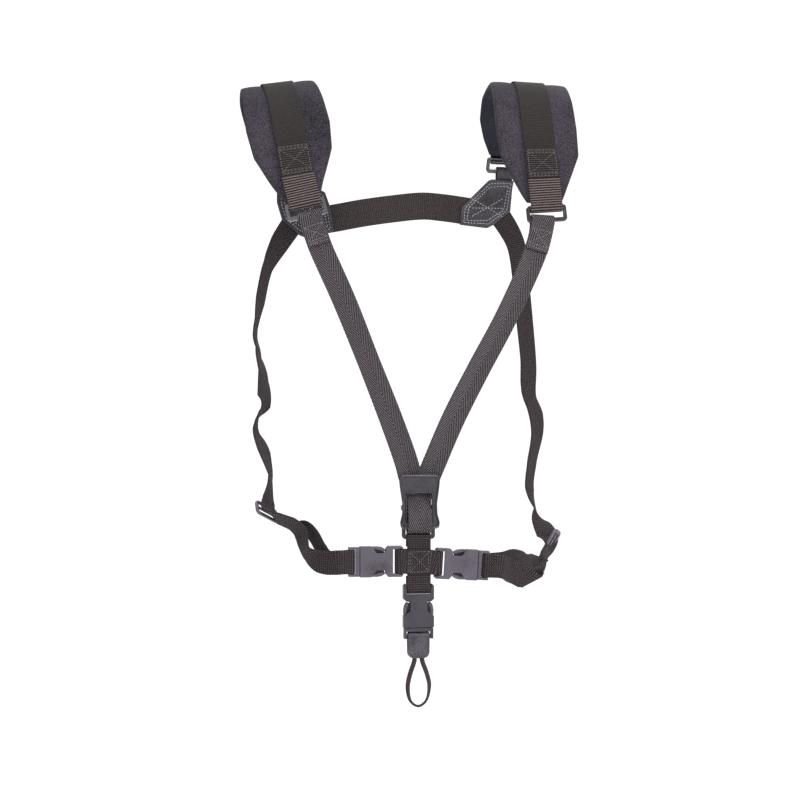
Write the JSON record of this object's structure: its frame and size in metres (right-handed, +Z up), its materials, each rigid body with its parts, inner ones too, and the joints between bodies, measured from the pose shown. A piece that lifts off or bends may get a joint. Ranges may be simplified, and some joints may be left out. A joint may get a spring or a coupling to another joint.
{
  "type": "saxophone shoulder harness",
  "caption": "Padded shoulder harness with back strap, sliding front strap, side straps with release buckles, and a hanging hook loop that carries a saxophone.",
  "frame": {"origin": "between the two shoulder pads, level with the undersides of their crests", "axes": "+Z up, +X to the viewer's right, -Y out of the wearer's chest"},
  "size_m": [0.2933, 0.1945, 0.5412],
  "materials": {
    "neoprene": "matt knit-faced neoprene",
    "pad_webbing": "close ribbed webbing",
    "back_webbing": "webbing with a picot lower edge",
    "strap_webbing": "coarse ribbed webbing",
    "herringbone_webbing": "herringbone webbing",
    "patch_leather": "satin grain leather",
    "tab_leather": "satin grain leather",
    "ring_metal": "satin black coating",
    "buckle_plastic": "moulded acetal",
    "loop_cord": "flat braided cord"
  },
  "bodies": {
    "yoke": {"left_pad": "neoprene", "left_pad_webbing": "pad_webbing", "left_front_tab": "strap_webbing", "left_rear_tab": "strap_webbing", "right_pad": "neoprene", "right_pad_webbing": "pad_webbing", "right_front_tab": "strap_webbing", "right_rear_tab": "strap_webbing"},
    "back_straps": {"left_rear_ring": "ring_metal", "left_patch_front": "patch_leather", "left_patch_back": "patch_leather", "left_ring_tongue": "patch_leather", "left_side_strap": "strap_webbing", "right_rear_ring": "ring_metal", "right_patch_front": "patch_leather", "right_patch_back": "patch_leather", "right_ring_tongue": "patch_leather", "right_side_strap": "strap_webbing", "back_strap": "back_webbing"},
    "front_straps": {"left_front_ring": "ring_metal", "right_front_ring": "ring_metal", "front_strap": "herringbone_webbing", "lower_ring": "ring_metal", "column_webbing": "strap_webbing", "cross_webbing": "strap_webbing", "left_receptacle": "buckle_plastic", "right_receptacle": "buckle_plastic", "hook_receptacle": "buckle_plastic"},
    "cinch": {"front_slider": "buckle_plastic"},
    "hook_plug_body": {"hook_plug": "buckle_plastic"},
    "hook": {"hook_tab": "tab_leather", "hook_loop": "loop_cord"},
    "hook_prong_r": {"hook_prong_right": "buckle_plastic"},
    "hook_prong_l": {"hook_prong_left": "buckle_plastic"},
    "left_plug_body": {"left_plug": "buckle_plastic", "left_strap_end": "strap_webbing"},
    "left_glide": {"left_strap_glide": "buckle_plastic"},
    "left_upper_prong": {"left_prong_upper": "buckle_plastic"},
    "left_lower_prong": {"left_prong_lower": "buckle_plastic"},
    "right_plug_body": {"right_plug": "buckle_plastic", "right_strap_end": "strap_webbing"},
    "right_glide": {"right_strap_glide": "buckle_plastic"},
    "right_upper_prong": {"right_prong_upper": "buckle_plastic"},
    "right_lower_prong": {"right_prong_lower": "buckle_plastic"}
  },
  "joints": [
    {"name": "back_swing", "type": "hinge", "parent": "yoke", "child": "back_straps", "pos_m": [0.0101, 0.0748, -0.0524], "axis": [0.9998, 0, 0.0186], "range_deg": [-5, 8]},
    {"name": "front_swing", "type": "hinge", "parent": "yoke", "child": "front_straps", "pos_m": [0.0089, -0.0871, -0.1063], "axis": [1, 0, -0.0054], "range_deg": [-8, 0]},
    {"name": "cinch_slide", "type": "slide", "parent": "front_straps", "child": "cinch", "axis": [0, 0, 1], "range_m": [0, 0.006]},
    {"name": "left_buckle_pull", "type": "slide", "parent": "front_straps", "child": "left_plug_body", "axis": [-1, 0, 0], "range_m": [0, 0.026]},
    {"name": "right_buckle_pull", "type": "slide", "parent": "front_straps", "child": "right_plug_body", "axis": [0.9982, 0, -0.06], "range_m": [0, 0.026]},
    {"name": "hook_buckle_pull", "type": "slide", "parent": "front_straps", "child": "hook_plug_body", "axis": [0, 0, -1], "range_m": [0, 0.026]},
    {"name": "left_prong_press", "type": "hinge", "parent": "left_plug_body", "child": "left_upper_prong", "pos_m": [-0.0507, -0.0972, -0.3955], "axis": [0, 1, 0], "range_deg": [0, 9], "stiffness_Nm_per_rad": 0.08},
    {"name": "left_prong_follow", "type": "hinge", "parent": "left_plug_body", "child": "left_lower_prong", "pos_m": [-0.0507, -0.0972, -0.4155], "axis": [0, 1, 0], "range_deg": [-9, 0], "stiffness_Nm_per_rad": 0.08},
    {"name": "right_prong_press", "type": "hinge", "parent": "right_plug_body", "child": "right_upper_prong", "pos_m": [0.0526, -0.0972, -0.3998], "axis": [0, -1, 0], "range_deg": [0, 9], "stiffness_Nm_per_rad": 0.08},
    {"name": "right_prong_follow", "type": "hinge", "parent": "right_plug_body", "child": "right_lower_prong", "pos_m": [0.0514, -0.0972, -0.41975], "axis": [0, -1, 0], "range_deg": [-9, 0], "stiffness_Nm_per_rad": 0.08},
    {"name": "hook_prong_press", "type": "hinge", "parent": "hook_plug_body", "child": "hook_prong_r", "pos_m": [0.0107, -0.095, -0.4629], "axis": [0, -1, 0], "range_deg": [0, 9], "stiffness_Nm_per_rad": 0.08},
    {"name": "hook_prong_follow", "type": "hinge", "parent": "hook_plug_body", "child": "hook_prong_l", "pos_m": [-0.0093, -0.095, -0.4629], "axis": [0, -1, 0], "range_deg": [-9, 0], "stiffness_Nm_per_rad": 0.08},
    {"name": "hook_swing", "type": "hinge", "parent": "hook_plug_body", "child": "hook", "pos_m": [0.0007, -0.095, -0.4694], "axis": [1, 0, 0], "range_deg": [-50, 50]},
    {"name": "left_glide_slide", "type": "slide", "parent": "left_plug_body", "child": "left_glide", "axis": [0.243, -0.5769, -0.7799], "range_m": [-0.001, 0.001]},
    {"name": "right_glide_slide", "type": "slide", "parent": "right_plug_body", "child": "right_glide", "axis": [0.067, -0.7836, -0.6177], "range_m": [-0.001, 0.001]}
  ],
  "couplings": [
    {"joint": "left_prong_follow", "follows": "left_prong_press", "ratio": -1},
    {"joint": "right_prong_follow", "follows": "right_prong_press", "ratio": -1},
    {"joint": "hook_prong_follow", "follows": "hook_prong_press", "ratio": -1}
  ]
}
